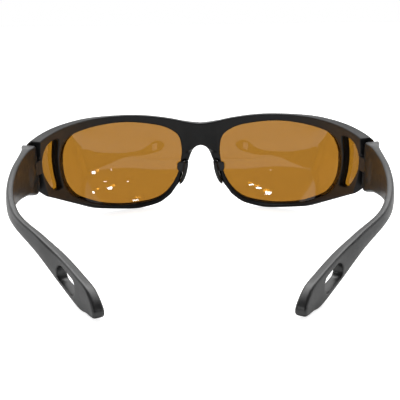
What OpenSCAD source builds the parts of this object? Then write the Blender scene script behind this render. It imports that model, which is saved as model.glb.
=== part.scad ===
/* [Overall] */
// Depth from the front-most point to the ends of the temple tips
overall_depth = 145; // [136:1:154]
// Height of the front, from the table to the top of the rims
front_h = 44.2; // [42:0.1:47]
// How far the bridge's top edge dips below the top of the rims
bridge_dip = 4.9; // [3:0.1:7]
// Height of the bridge
bridge_h = 10.3; // [8:0.1:12]

/* [Main lenses] */
// Width of a lens opening, seen from straight behind
lens_w = 52; // [46:0.1:55]
// Width of the rim above a lens opening
rim_top = 3.2; // [2:0.1:4]
// Distance from the middle of the front to a lens opening
lens_x0 = 8.9; // [8:0.1:10]
// Height of the lowest point of a lens opening
lens_z0 = 2.6; // [1.8:0.1:4]
// Thickness of a main lens
lens_t = 2; // [1.6:0.1:2.2]
// Depth of the groove that holds a lens
groove_depth = 0.9; // [0.6:0.1:1.2]
// Ledge of the rim behind the lens
rear_ledge = 0.8; // [0.6:0.1:1]

/* [Front frame] */
// Radius of the surface that the front's back follows
back_r = 66; // [62:0.5:70]
// Thickness of the end of the front at the hinge
end_wall = 5; // [4.6:0.1:5.8]
// Distance of these surfaces' centres from the middle
eye_x = 9; // [7:0.5:11]
// Height of these surfaces' centres
eye_z = 21; // [18:0.1:23]
// Thickness of the rim beside the nose
rim_depth = 3.4; // [3.2:0.1:4]
// Run of the end piece behind the lens opening, measured sideways
end_run = 7.4; // [7:0.1:9]
// Radius of the bulge on the back of the bridge
bridge_r = 8; // [7:0.5:10]
// Height of that bulge above the back of the rims
bridge_bulge = 2.4; // [1.5:0.1:3]

/* [Side windows] */
// Height of a side window
window_h = 22.4; // [18:0.2:24]
// Width of a side window
window_w = 12; // [9:0.2:12.6]
// Angle round the front from the hinge forward to the middle of a window
window_turn = 7.4; // [6.8:0.1:8]
// Extra turn of a window's walls past the front's own direction there
window_wall_turn = 13.4; // [6:0.2:15.4]
// Thickness of a side lens
side_lens_t = 1.1; // [0.9:0.1:1.4]
// Width of the ledge that a side lens lies on
side_ledge = 0.8; // [0.5:0.1:1]

/* [Hinges] */
// Height of the end of the front at the hinge
hinge_h = 21.2; // [19:0.2:23]
// How far the middle of the hinge and the window lies below the top of the rims
hinge_drop = 18.6; // [17:0.1:20]
// Backward lean of the hinge pins, in degrees
hinge_lean = 12; // [6:1:14]
// Height of the tongue on the front
tongue_h = 6.2; // [5:0.1:8]
// Radius of the round end of the tongue and the ears
knuckle_r = 1.9; // [1.7:0.1:2.2]
// Depth of the pin behind the inner face
pin_depth = 2; // [1.9:0.1:2.4]
// Radius of the screw's shank
pin_r = 0.7; // [0.6:0.05:0.8]
// Radius of the screw's head
head_r = 1.25; // [1.1:0.05:1.4]
// Height of the screw's head
head_h = 0.9; // [0.7:0.1:1.2]
// Depth at which the head lies in the lower ear
head_depth = 4; // [3:0.2:5]
// Reach of the screw into the upper ear
pin_reach = 4; // [3:0.2:5]

/* [Temples] */
// Distance that a tip bends in from the end of the front
tip_inset = 42.5; // [36:0.5:46]
// Thickness of a temple along most of its length
temple_t = 3.1; // [2.8:0.1:3.6]
// Thickness of a temple at its hinge
temple_root_t = 6; // [5.6:0.1:6.6]
// Thickness of the flared tip
tip_t = 4; // [3.4:0.1:4.8]
// Height of a temple at its slimmest place
waist_h = 5.2; // [4.6:0.1:7]
// Height of the flared tip
tip_h = 10.4; // [9.5:0.1:12]
// Length of the lanyard slot
slot_l = 13.2; // [10:0.2:15]
// Height of the lanyard slot
slot_h = 5.8; // [5:0.1:6]
// Distance of the slot's middle from the end of the tip, along the temple
slot_from_end = 20.5; // [18:0.5:24]
// Rounding of the slot's mouths
slot_round = 0.3; // [0.2:0.1:0.8]

/* [Nose pads] */
// Thickness of a nose pad
pad_t = 2; // [1.6:0.1:2.4]
// Front-to-back depth of a nose pad
pad_d = 6.4; // [5:0.2:8]
// How far the top of a nose pad lies below the arch
pad_drop = 7.8; // [6:0.1:8.5]
// Length of a nose pad
pad_l = 10.1; // [8:0.1:11]
// Height of the clip that holds a pad on the rim
clip_h = 4.6; // [3:0.1:5]
// Thickness of that clip
clip_t = 1.1; // [0.8:0.1:1.4]

/* [Clearances] */
// Gap round a lens in its groove, and round a pad on its rim
seat_gap = 0.05; // [0.02:0.01:0.1]
// Gap between the front and a temple at the hinge
joint_gap = 0.3; // [0.2:0.05:0.4]
// Radial gap of a screw in its holes
pin_gap = 0.04; // [0.02:0.01:0.08]

/* [Hidden] */
$fn = 96;
frame_black = [0.06, 0.06, 0.065];
lens_amber = [0.66, 0.42, 0.12, 0.7];
pad_black = [0.1, 0.1, 0.1];
steel_grey = [0.62, 0.62, 0.64];

// Heights that follow from the height of the front
bridge_top_z = front_h - bridge_dip;
arch_z = bridge_top_z - bridge_h;
lens_h = front_h - rim_top - lens_z0;
hinge_z = front_h - hinge_drop;
window_z = hinge_z;
pad_top_z = arch_z - pad_drop;
pad_low_z = pad_top_z - pad_l;
end_top_z = hinge_z + hinge_h / 2;
end_low_z = hinge_z - hinge_h / 2;
// Sideways reach of the inner face at the hinge, and of the cutting shapes
hinge_x = lens_x0 + lens_w + end_run;
reach_x = hinge_x + 2 * end_wall;
// Turn of the end piece's inner face at the hinge
hinge_turn = asin((hinge_x - eye_x) / back_r);
// The face's surface: it lies rim_depth out at the nose and end_wall out at the hinge
nose_r = back_r + rim_depth;
end_r = back_r + end_wall;
face_set_back = (pow(end_r, 2) - pow(nose_r, 2)) / 2 / (nose_r - end_r * cos(hinge_turn));
face_r = nose_r + face_set_back;
// Y of the centres of the two surfaces, and of the hinge
face_y = overall_depth / 2 - face_r;
back_y = overall_depth / 2 - nose_r;
hinge_y = back_y + sqrt(pow(back_r, 2) - pow(hinge_x - eye_x, 2) - pow(hinge_z - eye_z, 2));
// Ends of the lens layer in the rim
lens_r0 = back_r + rear_ledge;
lens_r1 = lens_r0 + lens_t;
// How far a cutting tool reaches past what it cuts
over = 2;

// Smooth closed line through a ring of points, n pieces from each to the next
function ring(p, n) = [
    for (i = [0:len(p) - 1], k = [0:n - 1])
        let (m = len(p))
        blend4(p[(i + m - 1) % m], p[i], p[(i + 1) % m], p[(i + 2) % m], k / n)
];
// Smooth open line through points
function line(p, n) = [
    for (i = [0:len(p) - 2], k = [0:(i == len(p) - 2 ? n : n - 1)])
        blend4(p[max(i - 1, 0)], p[i], p[i + 1], p[min(i + 2, len(p) - 1)], k / n)
];
function blend4(a, b, c, d, t) =
    0.5 * (2 * b + (c - a) * t + (2 * a - 5 * b + 4 * c - d) * t * t + (3 * b - a - 3 * c + d) * t * t * t);
// Clockwise ring of points moved outwards by d
function grow(p, d) = [
    for (i = [0:len(p) - 1])
        let (m = len(p), t = p[(i + 1) % m] - p[(i + m - 1) % m])
        p[i] + d * [-t.y, t.x] / norm(t)
];

// Lens opening in X and Z: a low wide oval, squarer at the top near the nose
opening_shape = [
    [0, 0.64], [0.026, 0.8], [0.115, 0.895], [0.24, 0.95], [0.47, 0.995], [0.68, 0.985],
    [0.86, 0.935], [0.942, 0.865], [0.987, 0.74], [1, 0.59], [0.99, 0.42], [0.955, 0.285],
    [0.885, 0.17], [0.73, 0.06], [0.57, 0.01], [0.42, 0], [0.26, 0.03], [0.165, 0.092],
    [0.096, 0.19], [0.043, 0.32], [0.012, 0.48]
];
opening = ring([for (q = opening_shape) [lens_x0 + q.x * lens_w, lens_z0 + q.y * lens_h]], 4);

// Side window across its walls and in Z: a tall D with its straight side to the front
window_shape = [
    [-0.25, 0.49], [-0.1, 0.5], [0.1, 0.475], [0.33, 0.37], [0.44, 0.16], [0.38, -0.08], [0.19, -0.28],
    [-0.06, -0.46], [-0.25, -0.5], [-0.42, -0.49], [-0.49, -0.43], [-0.41, -0.18], [-0.335, 0.1],
    [-0.3, 0.4]
];
window = ring([for (q = window_shape) [q.x * window_w, window_z + q.y * window_h]], 5);

// Turns and places a child at a window: its X runs back along the end piece, its Y out through the wall
module at_window() {
    turn = hinge_turn - window_turn;
    translate([eye_x + back_r * sin(turn), back_y + back_r * cos(turn), 0])
        rotate([0, 0, -turn - window_wall_turn])
            children();
}

// Places a child in the hinge's own frame: X out through the wall, Y forward, Z along the pin
module at_hinge() {
    translate([hinge_x, hinge_y, hinge_z])
        rotate([hinge_lean, 0, 0])
            rotate([0, 0, 90 - hinge_turn])
                children();
}

module both_sides() {
    children();
    mirror([1, 0, 0])
        children();
}

// A shape drawn in X and Z, drawn out along Y
module along_y(points, y0, y1) {
    translate([0, y1, 0])
        rotate([90, 0, 0])
            linear_extrude(y1 - y0)
                polygon(points);
}

// A shape drawn in Y and Z, drawn out along X
module along_x(points, x0, x1) {
    translate([x0, 0, 0])
        rotate([90, 0, 90])
            linear_extrude(x1 - x0)
                polygon(points);
}

module ball(r, y) {
    translate([eye_x, y, eye_z])
        sphere(r);
}

// Point at a share of the lens opening's width, and a share of the height of the hinge's underside
function low(x, z) = [lens_x0 + x * lens_w, z * end_low_z];
// The same beside the hinge, at a share of the end piece's run
function low_end(x, z) = [hinge_x + x * end_run, z * end_low_z];
// Point on the top edge, with its drop as a share of the rim above the lens
function top(x, drop) = [lens_x0 + x * lens_w, front_h - drop * rim_top];

// Nose side of the rim: its lower end, its middle, and its edge beside the top of the pad
nose_low = low(0.01, 0.87);
nose_mid = [nose_low.x - 0.022 * lens_w, (nose_low.y + pad_top_z) / 2];
nose_top = [nose_low.x - 0.033 * lens_w, pad_top_z];
nose_edge = line([low(0.056, 0.6), low(0.025, 0.74), nose_low, nose_mid, nose_top], 5);
// How far the bridge steps in over the pad's top
pad_step = pad_t;
// Outline of half the front in X and Z
front_outline = concat(
    line([[0, bridge_top_z], [lens_x0 * 0.67, bridge_top_z + 0.06 * bridge_h], top(0.1, 0.78), top(0.3, 0.27),
          top(0.49, 0.04), top(0.72, 0)], 5),
    [[reach_x, front_h]],
    line([low_end(1.2, 1.2), low_end(0.46, 1.08), low_end(0, 0.93), low_end(-0.47, 0.77), low(0.92, 0.43),
          low(0.78, 0.175), low(0.64, 0.04), low(0.49, 0), low(0.34, 0.04), low(0.2, 0.155), low(0.1, 0.39)], 4),
    nose_edge,
    line([[nose_top.x - pad_step, pad_top_z], [lens_x0 * 0.52, pad_top_z + pad_drop * 0.38],
          [lens_x0 * 0.4, pad_top_z + pad_drop * 0.68], [lens_x0 * 0.24, arch_z - pad_drop * 0.09],
          [0, arch_z]], 4)
);

// Profile of the end piece in Y and Z, which both its faces share
wrap_d = overall_depth / 2 - hinge_y;
end_y = hinge_y - hinge_h / 2;
// Points at a share of the way from the hinge to the front-most point
function over_end(y, z) = [hinge_y + y * wrap_d, end_top_z + z * (front_h - end_top_z)];
function under_end(y, z) = [hinge_y + y * wrap_d, z * end_low_z];
front_profile = concat(
    line([[end_y, end_top_z - hinge_h * 0.11], over_end(-0.05, 0), over_end(0.1, 0.36), over_end(0.245, 0.64),
          over_end(0.404, 0.85), over_end(0.64, 1.07)], 4),
    [[overall_depth / 2 + over, front_h * 1.01], [overall_depth / 2 + over, -over]],
    line([under_end(0.88, -0.1), under_end(0.77, 0.003), under_end(0.67, 0.09), under_end(0.576, 0.18),
          under_end(0.449, 0.387), under_end(0.245, 0.684), under_end(0.123, 0.845),
          under_end(0.044, 0.95), [end_y, end_low_z * 1.1]], 4)
);

// Half of the front before its openings: a curved wall between the two surfaces
module front_wall() {
    intersection() {
        difference() {
            ball(face_r, face_y);
            ball(back_r, back_y);
        }
        along_y(front_outline, end_y, overall_depth / 2 + over);
        along_x(front_profile, -over, reach_x + over);
    }
}

// Bulge on the back of the bridge, from one rim to the other
module bridge() {
    bulge_y = back_y + sqrt(pow(back_r, 2) - pow(eye_x, 2)) - bridge_bulge + bridge_r;
    intersection() {
        translate([0, bulge_y, arch_z - over])
            cylinder(h = front_h - arch_z + 2 * over, r = bridge_r);
        along_y(front_outline, bulge_y - bridge_r - over, bulge_y - bridge_r + bridge_bulge + rim_depth / 2);
        translate([0, bulge_y - 2 * bridge_r, 0])
            cube([bridge_r, 2 * bridge_r, front_h]);
    }
}

// The hinge's tongue on the front, with its round end about the pin
module tongue() {
    at_hinge()
        translate([0, 0, -tongue_h / 2])
            linear_extrude(tongue_h)
                union() {
                    translate([pin_depth, 0])
                        circle(knuckle_r);
                    translate([pin_depth - knuckle_r, 0])
                        square([2 * knuckle_r, knuckle_r + 2 * joint_gap + over / 2]);
                }
}

// Everything behind the joint's plane, and the room that the temple's ears need to turn
module end_cut() {
    room_r = knuckle_r + joint_gap;
    at_hinge() {
        translate([-reach_x / 4, -hinge_h, -hinge_h])
            cube([reach_x / 2, hinge_h + joint_gap / 2, 2 * hinge_h]);
        translate([pin_depth, 0, -hinge_h])
            cylinder(h = 2 * hinge_h, r = room_r);
        translate([0, 0, -hinge_h])
            linear_extrude(2 * hinge_h)
                polygon([[pin_depth, -over], [pin_depth, room_r], [-2 * over, room_r + over],
                         [-2 * over, -over]]);
    }
}

module side_window_cut() {
    at_window() {
        along_y(window, -over * 2, over * 4);
    }
}

// Layer of a ball's shell cut to an outline, used for the lenses and their seats
module lens_layer(d, gap) {
    intersection() {
        difference() {
            ball(lens_r1 + gap, back_y);
            ball(lens_r0 - gap, back_y);
        }
        along_y(grow(opening, d), hinge_y, overall_depth / 2 + over);
    }
}

module side_lens_layer(d, gap, proud) {
    intersection() {
        difference() {
            ball(face_r + proud, face_y);
            ball(face_r - side_lens_t - gap, face_y);
        }
        at_window()
            along_y(grow(window, d), -over, over * 6);
    }
}

module pin_bore(r) {
    at_hinge()
        translate([pin_depth, 0, -hinge_h / 2 - over])
            cylinder(h = hinge_h + 2 * over, r = r);
}

module front_half() {
    difference() {
        union() {
            difference() {
                union() {
                    front_wall();
                    bridge();
                }
                end_cut();
            }
            tongue();
        }
        along_y(opening, hinge_y, overall_depth / 2 + over);
        lens_layer(groove_depth, seat_gap);
        side_window_cut();
        side_lens_layer(side_ledge, seat_gap, over);
        pin_bore(pin_r + pin_gap);
    }
}

module front_frame() {
    color(frame_black)
        both_sides()
            front_half();
}

module lens() {
    color(lens_amber)
        lens_layer(groove_depth - seat_gap, 0);
}

module side_lens() {
    color(lens_amber)
        side_lens_layer(side_ledge - seat_gap, 0, 0);
}

// Temple stations from hinge to tip: how far along, how far in, and how far the middle drops
temple_shape = [
    [-0.075, -0.015, 0], [0, 0, 0], [0.063, 0.033, -0.02], [0.13, 0.05, -0.053],
    [0.298, 0.05, -0.012], [0.443, 0.09, 0.105], [0.573, 0.21, 0.273], [0.698, 0.454, 0.526],
    [0.794, 0.66, 0.8], [0.9, 0.842, 0.99], [0.948, 0.923, 1.04], [1, 1, 1.15]
];
tip_end_y = -overall_depth / 2;
tip_mid_z = tip_h / 2;
temple_l = hinge_y - tip_end_y;
temple_out_x = hinge_x + temple_root_t + 0.1;
temple_heights = [
    hinge_h, hinge_h, hinge_h * 0.955, hinge_h * 0.85, hinge_h * 0.62, waist_h * 1.58,
    waist_h, (waist_h + tip_h) * 0.436, tip_h * 0.92, tip_h * 0.98, tip_h * 0.8, tip_h * 0.53
];
// Each station as X and Y of the outer face, middle height, and height
stations = [
    for (i = [0:len(temple_shape) - 1])
        let (q = temple_shape[i])
        [temple_out_x - q.y * tip_inset, hinge_y - q.x * temple_l,
         hinge_z + q.z * (tip_mid_z - hinge_z), temple_heights[i]]
];
last_station = len(stations) - 1;
function station(t) =
    let (i = max(min(floor(t), last_station - 1), 0))
    blend4(stations[max(i - 1, 0)], stations[i], stations[i + 1], stations[min(i + 2, last_station)], t - i);

// Station numbers of the rings, closer together towards the rounded end
rings_per_station = 4;
end_rings = 7;
ring_at = concat(
    [for (k = [0:(last_station - 1) * rings_per_station - 1]) k / rings_per_station],
    [for (k = [0:end_rings]) last_station - 1 + sin(90 * k / end_rings)]
);
// Inward direction of the temple in plan
function inward(t) =
    let (d = station(min(t + 0.1, last_station)) - station(max(t - 0.1, 0)))
    [d.y, -d.x] / norm([d.x, d.y]);
// Distance over which the thick root fades into the blade
root_fade = 8.5;
// Shares of the temple's length between which it thickens into the tip
tip_start = 0.6;
tip_full = 0.78;
function ease(t) = let (u = max(min(t, 1), 0)) u * u * (3 - 2 * u);
function blade_t(y) =
    temple_t + (temple_root_t - temple_t) * exp(-pow(max(hinge_y - y, 0) / root_fade, 2))
    + (tip_t - temple_t) * ease(((hinge_y - y) / temple_l - tip_start) / (tip_full - tip_start));
// Share of the height that is left inside the rounded end
function end_round(t) = sqrt(1 - 0.97 * pow(max(t - last_station + 1, 0), 2));

// Section of a blade of thickness w and height h, from its outer face inwards
corner_r = 0.9;
corner_steps = 3;
function section(w, h) =
    let (r = min(corner_r, h / 2.1))
    [for (c = [[r, -1, 180], [w - r, -1, 270], [w - r, 1, 0], [r, 1, 90]], k = [0:corner_steps])
        let (a = c[2] + 90 * k / corner_steps)
        [c[0] + r * cos(a), c[1] * (h / 2 - r) + r * sin(a)]];

function temple_ring(t) =
    let (s = station(t), n = inward(t))
    [for (q = section(blade_t(s.y), s[3] * end_round(t)))
        [s.x + n.x * q.x, s.y + n.y * q.x, s.z + q.y]];

module blade() {
    rings = [for (t = ring_at) temple_ring(t)];
    m = len(rings[0]);
    last = len(rings) - 1;
    sides = [
        for (i = [0:last - 1], k = [0:m - 1])
            let (a = i * m + k, b = i * m + (k + 1) % m)
            each [[a, b, b + m], [a, b + m, a + m]]
    ];
    ends = [
        for (k = [1:m - 2])
            each [[0, k + 1, k], [last * m, last * m + k, last * m + k + 1]]
    ];
    polyhedron([for (r = rings) each r], concat(sides, ends));
}

// Everything in front of the joint's plane
module root_cut() {
    at_hinge()
        translate([-reach_x / 4, -joint_gap / 2, -hinge_h])
            cube([reach_x / 2, hinge_h, 2 * hinge_h]);
}

// Shallow swelling on the temple's inner face, beside the tongue
swell_r = 16;
swell_h = 0.6;
swell_back = 7;
module swelling() {
    intersection() {
        translate([hinge_x + swell_r - swell_h, hinge_y - swell_back, hinge_z])
            sphere(swell_r);
        translate([hinge_x - over, hinge_y - 2 * swell_back, hinge_z - hinge_h / 2])
            cube([over + temple_t / 2, 2 * swell_back, hinge_h]);
    }
}

// Ears of the temple, over and under the tongue, with round ends about the pin
ear_edge = 0.8;
module ears() {
    intersection() {
        at_hinge()
            translate([0, 0, -hinge_h])
                linear_extrude(2 * hinge_h)
                    union() {
                        translate([pin_depth, 0])
                            circle(knuckle_r);
                        translate([pin_depth - knuckle_r, -2 * knuckle_r])
                            square([2 * knuckle_r, 2 * knuckle_r]);
                    }
        translate([0, hinge_y - hinge_h, end_low_z + ear_edge])
            cube([reach_x, 2 * hinge_h, hinge_h - 2 * ear_edge]);
    }
}

// Room in the temple for the tongue, open to the inner side for folding
module tongue_room() {
    room_r = knuckle_r + joint_gap;
    room_h = tongue_h + 2 * joint_gap;
    at_hinge()
        translate([0, 0, -room_h / 2]) {
            translate([pin_depth, 0, 0])
                cylinder(h = room_h, r = room_r);
            translate([-over * 2, -room_r, 0])
                cube([pin_depth + over * 2, hinge_h / 2, room_h]);
        }
}

// Heights along the pin: the seat of the screw's head, and the screw's end
seat_z = head_depth - hinge_h / 2;
screw_end_z = tongue_h / 2 + pin_reach;
module screw_holes() {
    at_hinge()
        translate([pin_depth, 0, 0]) {
            translate([0, 0, seat_z])
                cylinder(h = screw_end_z + joint_gap - seat_z, r = pin_r + pin_gap);
            translate([0, 0, seat_z - 2 * head_depth])
                cylinder(h = 2 * head_depth, r = head_r + 2 * pin_gap);
        }
}

module screw() {
    low_z = seat_z - head_h - seat_gap;
    color(steel_grey)
        at_hinge()
            translate([pin_depth, 0, 0])
                difference() {
                    union() {
                        translate([0, 0, low_z])
                            cylinder(h = head_h, r = head_r);
                        translate([0, 0, low_z + head_h / 2])
                            cylinder(h = screw_end_z - low_z - head_h / 2, r = pin_r);
                    }
                    translate([-over, -pin_r / 4, low_z - over])
                        cube([2 * over, pin_r / 2, over + head_h / 2]);
                }
}

// Places a child at the lanyard slot: X along the blade to the front, Y in through it
tip_run = norm([for (k = [0:1]) stations[last_station][k] - stations[last_station - 2][k]]);
slot_at = last_station - 2
    - (slot_from_end - tip_run) / norm(stations[last_station - 2] - stations[last_station - 3]);
module at_slot() {
    s = station(slot_at);
    d = station(slot_at - 0.4) - station(slot_at + 0.4);
    translate([s.x, s.y, s.z])
        rotate([0, 0, atan2(d.y, d.x)])
            rotate([0, -atan(d.z / norm([d.x, d.y])), 0])
                children();
}

// Long hole with round ends, of half height r0 at the child's Y of 0 and r1 at a Y of d
module long_hole(y, d, r0, r1) {
    run = (slot_l - slot_h) / 2;
    translate([0, y, 0]) {
        for (side = [-run, run])
            translate([side, 0, 0])
                rotate([-90, 0, 0])
                    cylinder(h = d, r1 = r0, r2 = r1);
        along_x([[0, -r0], [0, r0], [d, r1], [d, -r1]], -run, run);
    }
}

module lanyard_slot() {
    r = slot_h / 2;
    flare = 2 * slot_round;
    at_slot() {
        long_hole(-tip_t, 3 * tip_t, r, r);
        long_hole(-slot_round, flare, r + flare, r);
        long_hole(tip_t - slot_round, flare, r, r + flare);
    }
}

module temple() {
    color(frame_black)
        difference() {
            union() {
                difference() {
                    union() {
                        blade();
                        swelling();
                    }
                    root_cut();
                }
                ears();
            }
            tongue_room();
            screw_holes();
            lanyard_slot();
        }
}

// Seat of the pad on the nose side of the rim, from its top down
pad_steps = 15;
pad_seat = [
    for (i = [0:pad_steps])
        let (z = pad_top_z - i / pad_steps * (pad_top_z - pad_low_z))
        [lookup(z, [for (q = nose_edge) [q.y, q.x]]), z]
];
// Line moved towards the nose by d, thinning to its lower end
function to_nose(p, d) = [
    for (i = [0:len(p) - 1])
        let (t = p[min(i + 1, len(p) - 1)] - p[max(i - 1, 0)])
        p[i] + d * sqrt(1 - 0.8 * pow(i / (len(p) - 1), 4)) * [t.y, -t.x] / norm(t)
];
rim_back_y = back_y + back_r;
// How far the pad's front end lies behind the face
pad_set = 0.4;
pad_front_y = rim_back_y + rim_depth - pad_set;
// How far the rim's back falls away within the width of the clip
back_fall = 0.15;
clip_y = rim_back_y - back_fall - seat_gap;
// Outline of the clip, with its round end on the lens side
clip_x = nose_low.x + 0.03 * lens_w;
clip_low_z = pad_top_z - clip_h;
clip_shape = concat(
    [[nose_top.x - pad_t / 2, clip_low_z], [nose_top.x - pad_t / 2, pad_top_z]],
    line([[clip_x - clip_h * 0.43, pad_top_z], [clip_x - clip_h * 0.11, pad_top_z - clip_h * 0.11],
          [clip_x, pad_top_z - clip_h * 0.4], [clip_x - clip_h * 0.02, pad_top_z - clip_h * 0.75],
          [clip_x - clip_h * 0.15, clip_low_z]], 4)
);
module nose_pad() {
    near = to_nose(pad_seat, 1.2 * seat_gap);
    far = to_nose(pad_seat, pad_t);
    color(pad_black)
        difference() {
            union() {
                along_y(concat(near, [for (i = [len(far) - 1:-1:0]) far[i]]),
                        pad_front_y - pad_d, pad_front_y);
                along_y(clip_shape, clip_y - clip_t, clip_y);
            }
            translate([0, clip_y, pad_top_z - seat_gap])
                cube([nose_low.x, pad_d, over]);
        }
}

front_frame();
mirror([1, 0, 0]) lens();  // left_lens
lens();  // right_lens
mirror([1, 0, 0]) side_lens();  // left_side_lens
side_lens();  // right_side_lens
mirror([1, 0, 0]) nose_pad();  // left_nose_pad
nose_pad();  // right_nose_pad
mirror([1, 0, 0]) temple();  // left_temple
temple();  // right_temple
mirror([1, 0, 0]) screw();  // left_hinge_screw
screw();  // right_hinge_screw
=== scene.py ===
import math

import bpy
import numpy as np
import openvdb as vdb
from mathutils import Matrix, Vector


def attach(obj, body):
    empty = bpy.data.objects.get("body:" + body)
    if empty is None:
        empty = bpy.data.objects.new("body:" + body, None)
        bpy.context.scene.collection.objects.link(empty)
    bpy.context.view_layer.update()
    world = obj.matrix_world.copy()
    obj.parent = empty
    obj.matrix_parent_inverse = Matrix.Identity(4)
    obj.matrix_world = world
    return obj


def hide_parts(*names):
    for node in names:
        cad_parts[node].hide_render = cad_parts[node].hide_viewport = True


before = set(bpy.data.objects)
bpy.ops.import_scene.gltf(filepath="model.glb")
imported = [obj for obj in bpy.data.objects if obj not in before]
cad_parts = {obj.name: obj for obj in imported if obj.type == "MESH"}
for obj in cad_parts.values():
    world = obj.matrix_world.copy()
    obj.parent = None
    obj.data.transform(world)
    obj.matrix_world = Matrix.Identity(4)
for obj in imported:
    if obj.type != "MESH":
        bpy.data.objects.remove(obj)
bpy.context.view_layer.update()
MM = 0.001

# Camera: place in mm, turn, tilt and roll in degrees, and the width of the view
CAM_AT = (2.4, -296.7, 93.1)
CAM_YAW, CAM_PITCH, CAM_ROLL = -0.47, 13.91, -0.71
SENSOR, VIEW_RATIO = 36, 2.0


def camera_axes():
    yaw, pitch, roll = (math.radians(a) for a in (CAM_YAW, CAM_PITCH, CAM_ROLL))
    ahead = Vector((math.sin(yaw) * math.cos(pitch), math.cos(yaw) * math.cos(pitch), -math.sin(pitch)))
    side = Vector((math.cos(yaw), -math.sin(yaw), 0))
    up = side.cross(ahead)
    right = math.cos(roll) * side + math.sin(roll) * up
    return ahead, right, -math.sin(roll) * side + math.cos(roll) * up


def make_camera():
    ahead, right, up = camera_axes()
    data = bpy.data.cameras.new("photo_camera")
    data.sensor_width = SENSOR
    data.lens = SENSOR * VIEW_RATIO
    data.clip_start, data.clip_end = 0.01, 20
    cam = bpy.data.objects.new("photo_camera", data)
    m = Matrix((right, up, -ahead)).transposed().to_4x4()
    m.translation = Vector(CAM_AT) * MM
    cam.matrix_world = m
    bpy.context.scene.collection.objects.link(cam)
    bpy.context.scene.camera = cam


make_camera()

# Sizes in mm, the same as the solids'
DEPTH, FRONT_H, BRIDGE_DIP, BRIDGE_H = 145.0, 44.2, 4.9, 10.3
LENS_W, RIM_TOP, LENS_X0, LENS_Z0, LENS_T = 52.0, 3.2, 8.9, 2.6, 2.0
GROOVE, LEDGE = 0.9, 0.8
BACK_R, END_WALL, EYE_X, EYE_Z, RIM_D, END_RUN = 66.0, 5.0, 9.0, 21.0, 3.4, 7.4
BRIDGE_R, BULGE = 8.0, 2.4
WIN_H, WIN_W, WIN_TURN, WIN_WALL, SIDE_T, SIDE_LEDGE = 22.4, 12.0, 7.4, 13.4, 1.1, 0.8
HINGE_H, HINGE_DROP, LEAN, TONGUE_H, KNUCKLE_R = 21.2, 18.6, 12.0, 6.2, 1.9
PIN_DEPTH, PIN_R, HEAD_R, HEAD_DEPTH, PIN_REACH = 2.0, 0.7, 1.25, 4.0, 4.0
TIP_INSET, TEMPLE_T, ROOT_T, TIP_T, WAIST_H, TIP_H = 42.5, 3.1, 6.0, 4.0, 5.2, 10.4
SLOT_L, SLOT_H, SLOT_FROM_END = 13.2, 5.8, 20.5
PAD_T, PAD_D, PAD_DROP, PAD_L, PAD_SET, CLIP_H, CLIP_T = 2.0, 6.4, 7.8, 10.1, 0.4, 4.6, 1.1
SEAT_GAP, JOINT_GAP, PIN_GAP = 0.05, 0.3, 0.04

bridge_top_z = FRONT_H - BRIDGE_DIP
arch_z = bridge_top_z - BRIDGE_H
lens_h = FRONT_H - RIM_TOP - LENS_Z0
hinge_z = FRONT_H - HINGE_DROP
pad_top_z = arch_z - PAD_DROP
pad_low_z = pad_top_z - PAD_L
end_top_z, end_low_z = hinge_z + HINGE_H / 2, hinge_z - HINGE_H / 2
hinge_x = LENS_X0 + LENS_W + END_RUN
reach_x = hinge_x + 2 * END_WALL
hinge_turn = math.asin((hinge_x - EYE_X) / BACK_R)
nose_r, end_r = BACK_R + RIM_D, BACK_R + END_WALL
set_back = (end_r**2 - nose_r**2) / 2 / (nose_r - end_r * math.cos(hinge_turn))
face_r = nose_r + set_back
face_y, back_y = DEPTH / 2 - face_r, DEPTH / 2 - nose_r
hinge_y = back_y + math.sqrt(BACK_R**2 - (hinge_x - EYE_X) ** 2 - (hinge_z - EYE_Z) ** 2)
lens_r0 = BACK_R + LEDGE
lens_r1 = lens_r0 + LENS_T
win_turn = hinge_turn - math.radians(WIN_TURN)
win_wall = win_turn + math.radians(WIN_WALL)
rim_back_y = back_y + BACK_R


def curve(rows, n, closed=False):
    """Smooth line through rows of numbers, n steps from each row to the next."""
    p = np.array(rows, float)
    m = len(p)
    out = []
    for i in range(m if closed else m - 1):
        if closed:
            a, b, c, d = p[i - 1], p[i], p[(i + 1) % m], p[(i + 2) % m]
        else:
            a, b, c, d = p[max(i - 1, 0)], p[i], p[i + 1], p[min(i + 2, m - 1)]
        for t in np.arange(n) / n:
            out.append(0.5 * (2 * b + (c - a) * t + (2 * a - 5 * b + 4 * c - d) * t * t
                              + (3 * b - a - 3 * c + d) * t**3))
    if not closed:
        out.append(p[-1])
    return np.array(out)


def low(x, z):
    return [LENS_X0 + x * LENS_W, z * end_low_z]


def low_end(x, z):
    return [hinge_x + x * END_RUN, z * end_low_z]


def top(x, drop):
    return [LENS_X0 + x * LENS_W, FRONT_H - drop * RIM_TOP]


nose_low = low(0.01, 0.87)
nose_mid = [nose_low[0] - 0.022 * LENS_W, (nose_low[1] + pad_top_z) / 2]
nose_top = [nose_low[0] - 0.033 * LENS_W, pad_top_z]
nose_edge = curve([low(0.056, 0.6), low(0.025, 0.74), nose_low, nose_mid, nose_top], 8)
wrap_d = DEPTH / 2 - hinge_y
end_y = hinge_y - HINGE_H / 2


def over_end(y, z):
    return [hinge_y + y * wrap_d, end_top_z + z * (FRONT_H - end_top_z)]


def under_end(y, z):
    return [hinge_y + y * wrap_d, z * end_low_z]


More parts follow.
